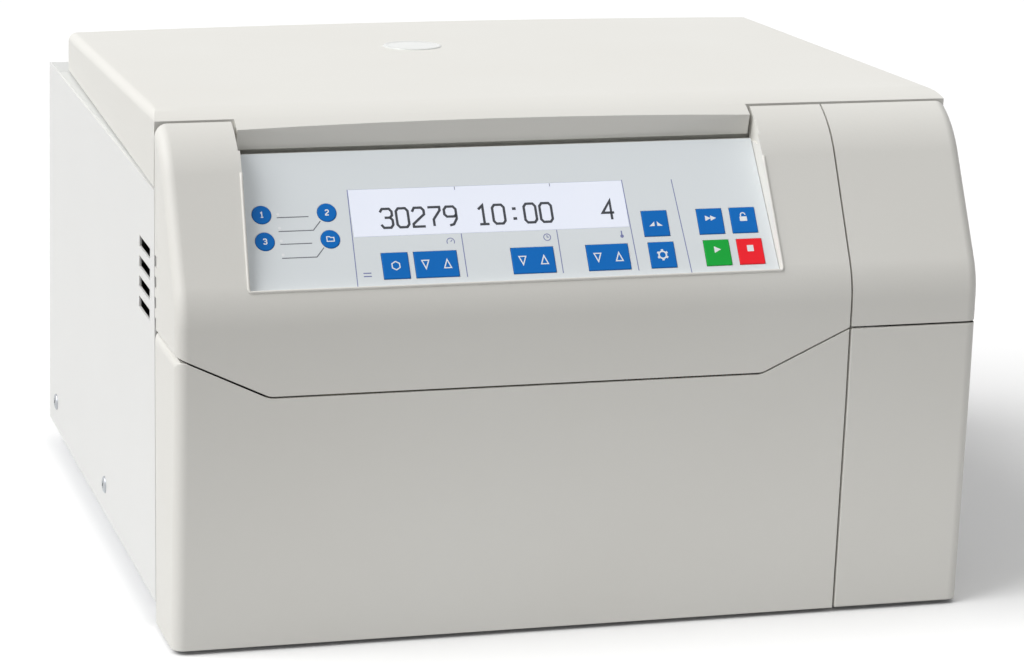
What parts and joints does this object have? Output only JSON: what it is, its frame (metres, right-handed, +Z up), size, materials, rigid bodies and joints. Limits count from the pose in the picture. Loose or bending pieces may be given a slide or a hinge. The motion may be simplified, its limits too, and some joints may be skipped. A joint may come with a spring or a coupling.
{
  "type": "refrigerated microplate centrifuge",
  "caption": "Refrigerated bench centrifuge with sloping keypad front, hinged locking lid and a swing-out microplate rotor in a cooled chamber.",
  "frame": {"origin": "middle of the footprint, on the bench under the rubber feet", "axes": "+Z up, the control panel faces -Y, +X to the right of a person facing the front"},
  "size_m": [0.5432, 0.488, 0.3371],
  "materials": {
    "moulded_cover": "fine textured paint on moulded foam",
    "painted_sheet": "fine textured powder coat",
    "zinc_plated_steel": "zinc plated",
    "stainless_bowl": "spun and brushed",
    "panel_film": "satin printed film",
    "display_glass": "back-lit display",
    "circuit_board": "solder mask",
    "copper_tube": "drawn copper",
    "insulating_foam": "expanded foam",
    "black_rubber": "moulded",
    "cast_aluminium": "as cast",
    "anodised_aluminium": "bead blasted and anodised",
    "black_enamel": "stove enamel",
    "black_nylon": "moulded",
    "grey_liner": "vacuum formed",
    "clear_acrylic": "polished",
    "blue_key": "satin printed film",
    "green_key": "satin printed film",
    "red_key": "satin printed film"
  },
  "bodies": {
    "housing": {"base_plate": "zinc_plated_steel", "left_side_panel": "painted_sheet", "right_side_panel": "painted_sheet", "rear_panel": "painted_sheet", "rear_deck": "painted_sheet", "chamber_deck": "painted_sheet", "front_cover": "moulded_cover", "front_skirt": "moulded_cover", "cooling_cover": "moulded_cover", "cooling_skirt": "moulded_cover", "control_panel": "panel_film", "display_window": "display_glass", "control_board": "circuit_board", "chamber_bowl": "stainless_bowl", "evaporator_coil": "copper_tube", "foam_jacket": "insulating_foam", "chamber_seal": "black_rubber", "drive_motor": "cast_aluminium", "motor_mounts": "black_rubber", "compressor": "black_enamel", "condenser": "cast_aluminium", "fan_frame": "black_nylon", "rubber_feet": "black_rubber", "power_inlet": "black_nylon", "panel_screws": "zinc_plated_steel", "hinge_brackets": "zinc_plated_steel", "hinge_pins": "zinc_plated_steel", "lock_housings": "black_nylon", "mains_switch_frame": "black_nylon"},
    "lid": {"lid_shell": "moulded_cover", "lid_liner": "grey_liner", "viewing_window": "clear_acrylic", "lid_hinge_arms": "zinc_plated_steel", "lid_strikers": "zinc_plated_steel"},
    "rotor": {"drive_spindle": "zinc_plated_steel", "rotor_yoke": "anodised_aluminium", "trunnion_pins": "zinc_plated_steel", "rotor_nut": "anodised_aluminium"},
    "carrier_left": {"plate_carrier_left": "anodised_aluminium"},
    "carrier_right": {"plate_carrier_right": "anodised_aluminium"},
    "lock_hook_left": {"lock_hook_left": "zinc_plated_steel"},
    "lock_hook_right": {"lock_hook_right": "zinc_plated_steel"},
    "fan": {"fan_blades": "black_nylon"},
    "mains_switch": {"mains_switch": "black_nylon"},
    "key_program_1": {"key_program_1": "blue_key"},
    "key_program_2": {"key_program_2": "blue_key"},
    "key_program_3": {"key_program_3": "blue_key"},
    "key_program_save": {"key_program_save": "blue_key"},
    "key_rpm_rcf": {"key_rpm_rcf": "blue_key"},
    "key_soft_start": {"key_soft_start": "blue_key"},
    "key_settings": {"key_settings": "blue_key"},
    "key_pulse": {"key_pulse": "blue_key"},
    "key_open": {"key_open": "blue_key"},
    "key_start": {"key_start": "green_key"},
    "key_stop": {"key_stop": "red_key"},
    "key_speed": {"key_speed": "blue_key"},
    "key_time": {"key_time": "blue_key"},
    "key_temperature": {"key_temperature": "blue_key"}
  },
  "joints": [
    {"name": "lid_hinge", "type": "hinge", "parent": "housing", "child": "lid", "pos_m": [0, 0.218, 0.286], "axis": [-1, 0, 0], "range_deg": [0, 80]},
    {"name": "rotor_spin", "type": "hinge", "parent": "housing", "child": "rotor", "pos_m": [-0.045, 0.024, 0.23], "axis": [0, 0, 1], "continuous": true},
    {"name": "carrier_left_swing", "type": "hinge", "parent": "rotor", "child": "carrier_left", "pos_m": [-0.117, 0.024, 0.23], "axis": [0, 1, 0], "range_deg": [0, 90]},
    {"name": "carrier_right_swing", "type": "hinge", "parent": "rotor", "child": "carrier_right", "pos_m": [0.027, 0.024, 0.23], "axis": [0, -1, 0], "range_deg": [0, 90]},
    {"name": "lock_left_turn", "type": "hinge", "parent": "housing", "child": "lock_hook_left", "pos_m": [-0.219, -0.138, 0.247], "axis": [0, -1, 0], "range_deg": [0, 25]},
    {"name": "lock_right_turn", "type": "hinge", "parent": "housing", "child": "lock_hook_right", "pos_m": [0.129, -0.138, 0.247], "axis": [0, 1, 0], "range_deg": [0, 25]},
    {"name": "fan_spin", "type": "hinge", "parent": "housing", "child": "fan", "pos_m": [0.20735, 0.212, 0.122], "axis": [0, 1, 0], "continuous": true},
    {"name": "mains_switch_rock", "type": "hinge", "parent": "housing", "child": "mains_switch", "pos_m": [-0.14, 0.2365, 0.062], "axis": [-1, 0, 0], "range_deg": [0, 16]},
    {"name": "key_program_1_press", "type": "slide", "parent": "housing", "child": "key_program_1", "axis": [0, 0.7923, -0.6101], "range_m": [0, 0.0005], "stiffness_N_per_m": 800},
    {"name": "key_program_2_press", "type": "slide", "parent": "housing", "child": "key_program_2", "axis": [0, 0.7923, -0.6101], "range_m": [0, 0.0005], "stiffness_N_per_m": 800},
    {"name": "key_program_3_press", "type": "slide", "parent": "housing", "child": "key_program_3", "axis": [0, 0.7923, -0.6101], "range_m": [0, 0.0005], "stiffness_N_per_m": 800},
    {"name": "key_program_save_press", "type": "slide", "parent": "housing", "child": "key_program_save", "axis": [0, 0.7923, -0.6101], "range_m": [0, 0.0005], "stiffness_N_per_m": 800},
    {"name": "key_rpm_rcf_press", "type": "slide", "parent": "housing", "child": "key_rpm_rcf", "axis": [0, 0.7923, -0.6101], "range_m": [0, 0.0005], "stiffness_N_per_m": 800},
    {"name": "key_soft_start_press", "type": "slide", "parent": "housing", "child": "key_soft_start", "axis": [0, 0.7923, -0.6101], "range_m": [0, 0.0005], "stiffness_N_per_m": 800},
    {"name": "key_settings_press", "type": "slide", "parent": "housing", "child": "key_settings", "axis": [0, 0.7923, -0.6101], "range_m": [0, 0.0005], "stiffness_N_per_m": 800},
    {"name": "key_pulse_press", "type": "slide", "parent": "housing", "child": "key_pulse", "axis": [0, 0.7923, -0.6101], "range_m": [0, 0.0005], "stiffness_N_per_m": 800},
    {"name": "key_open_press", "type": "slide", "parent": "housing", "child": "key_open", "axis": [0, 0.7923, -0.6101], "range_m": [0, 0.0005], "stiffness_N_per_m": 800},
    {"name": "key_start_press", "type": "slide", "parent": "housing", "child": "key_start", "axis": [0, 0.7923, -0.6101], "range_m": [0, 0.0005], "stiffness_N_per_m": 800},
    {"name": "key_stop_press", "type": "slide", "parent": "housing", "child": "key_stop", "axis": [0, 0.7923, -0.6101], "range_m": [0, 0.0005], "stiffness_N_per_m": 800},
    {"name": "key_speed_rock", "type": "hinge", "parent": "housing", "child": "key_speed", "pos_m": [-0.098, -0.22307, 0.24665], "axis": [0, 0.6101, 0.7923], "range_deg": [-1.5, 1.5], "stiffness_Nm_per_rad": 0.2},
    {"name": "key_time_rock", "type": "hinge", "parent": "housing", "child": "key_time", "pos_m": [-0.0335, -0.22307, 0.24665], "axis": [0, 0.6101, 0.7923], "range_deg": [-1.5, 1.5], "stiffness_Nm_per_rad": 0.2},
    {"name": "key_temperature_rock", "type": "hinge", "parent": "housing", "child": "key_temperature", "pos_m": [0.017, -0.22307, 0.24665], "axis": [0, 0.6101, 0.7923], "range_deg": [-1.5, 1.5], "stiffness_Nm_per_rad": 0.2}
  ],
  "couplings": [
    {"joint": "lock_right_turn", "follows": "lock_left_turn", "ratio": 1}
  ]
}
